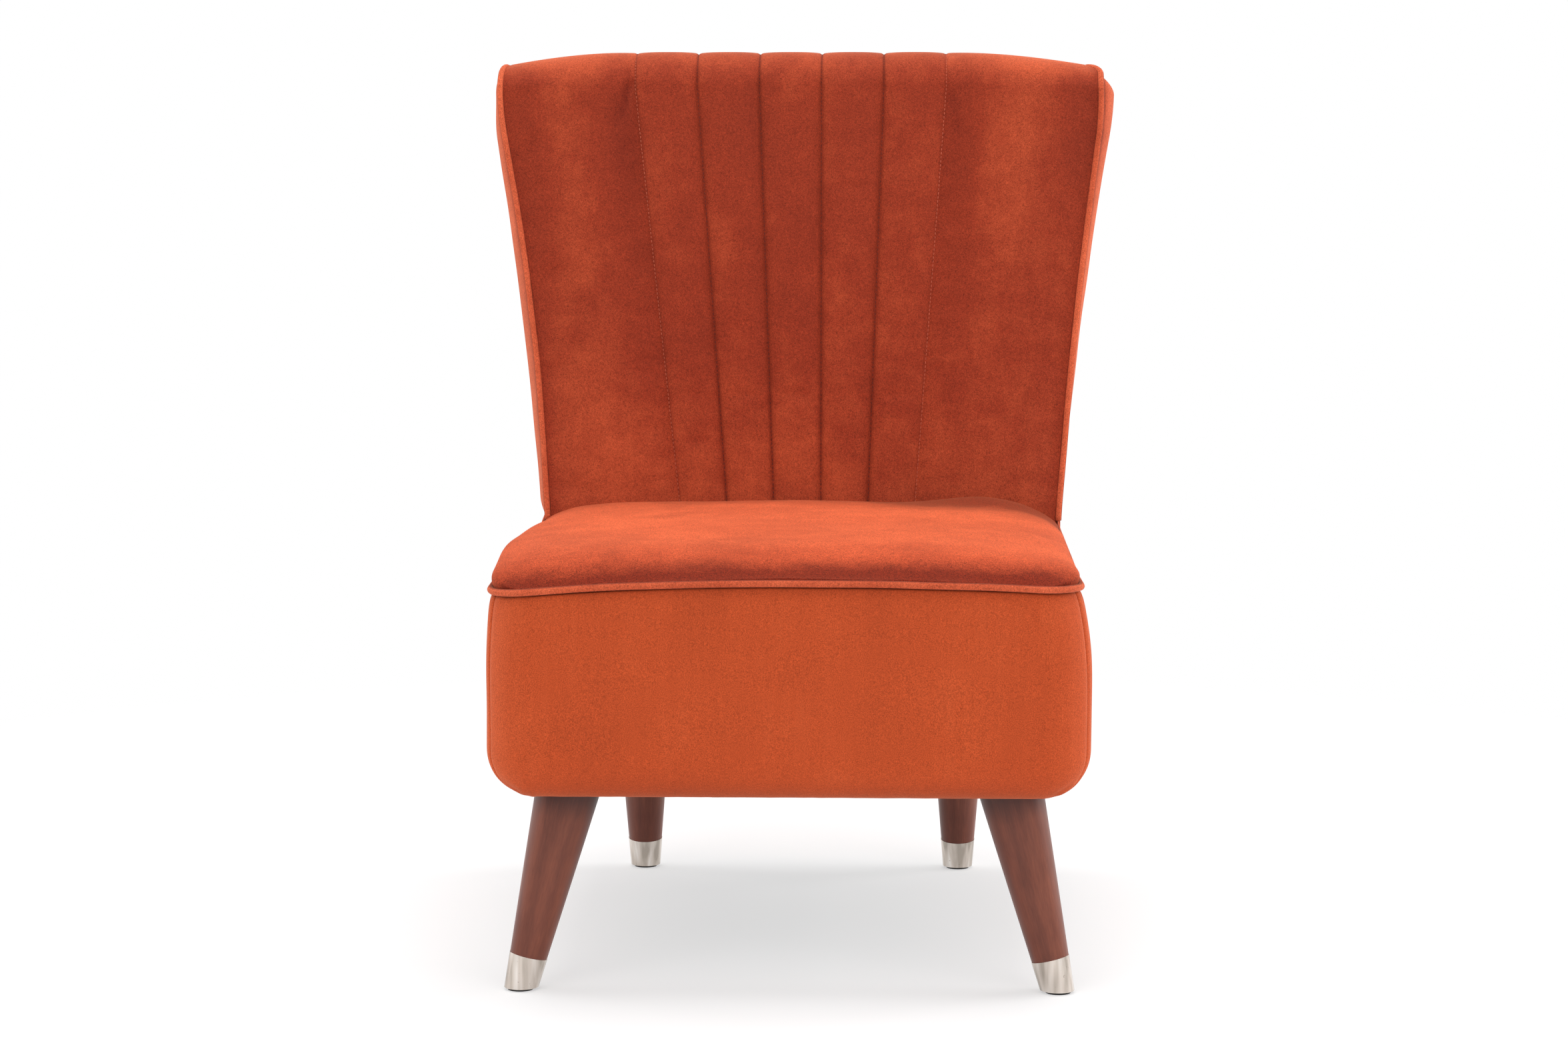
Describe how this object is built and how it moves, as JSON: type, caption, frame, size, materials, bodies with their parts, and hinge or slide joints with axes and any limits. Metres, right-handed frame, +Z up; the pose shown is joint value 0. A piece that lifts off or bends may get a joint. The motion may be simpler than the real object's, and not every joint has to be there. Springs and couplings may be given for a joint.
{
  "type": "accent chair",
  "caption": "Armless upholstered accent chair with a tight crowned seat, a flared back with sewn vertical channels, piped edges, and splayed turned legs with metal ferrules.",
  "frame": {"origin": "on the floor, under the middle of the chair's box", "axes": "+X to the right of someone facing the chair, +Y towards its back, +Z up"},
  "size_m": [0.664, 0.6748, 0.8839],
  "materials": {
    "velvet": "rust velvet with a soft nap",
    "foam": "upholstery foam and fibre wadding",
    "frame_wood": "plain planed beech",
    "walnut": "walnut stain, satin lacquer",
    "ferrule": "satin nickel",
    "glide": "dark matt",
    "fastener": "zinc plated",
    "webbing": "woven elastic webbing",
    "fibreboard": "raw board",
    "dust_cloth": "black non-woven cloth"
  },
  "bodies": {
    "root": {"back_bolts": "fastener", "back_foam": "foam", "back_lower_rail": "frame_wood", "back_roll_foam": "foam", "back_tee_nuts": "fastener", "back_top_rail": "frame_wood", "back_webbing": "webbing", "dust_cover": "dust_cloth", "frame_dowels": "frame_wood", "front_band": "velvet", "front_band_pad": "foam", "front_left_corner_block": "frame_wood", "front_left_ferrule": "ferrule", "front_left_glide": "glide", "front_left_leg": "walnut", "front_rail": "frame_wood", "front_right_corner_block": "frame_wood", "front_right_ferrule": "ferrule", "front_right_glide": "glide", "front_right_leg": "walnut", "inside_back_panel": "velvet", "left_back_piping": "velvet", "left_back_post": "frame_wood", "left_band": "velvet", "left_band_pad": "foam", "left_boxing": "velvet", "left_boxing_pad": "foam", "left_side_rail": "frame_wood", "leg_bolts": "fastener", "leg_tee_nuts": "fastener", "outside_back_board": "fibreboard", "outside_back_cover": "velvet", "outside_back_wadding": "foam", "rear_left_corner_block": "frame_wood", "rear_left_ferrule": "ferrule", "rear_left_glide": "glide", "rear_left_leg": "walnut", "rear_rail": "frame_wood", "rear_right_corner_block": "frame_wood", "rear_right_ferrule": "ferrule", "rear_right_glide": "glide", "rear_right_leg": "walnut", "right_back_piping": "velvet", "right_back_post": "frame_wood", "right_band": "velvet", "right_band_pad": "foam", "right_boxing": "velvet", "right_boxing_pad": "foam", "right_side_rail": "frame_wood", "seat_foam": "foam", "seat_piping": "velvet", "seat_top_cover": "velvet", "seat_webbing_crosswise": "webbing", "seat_webbing_lengthwise": "webbing", "webbing_rail": "frame_wood"}
  },
  "joints": []
}
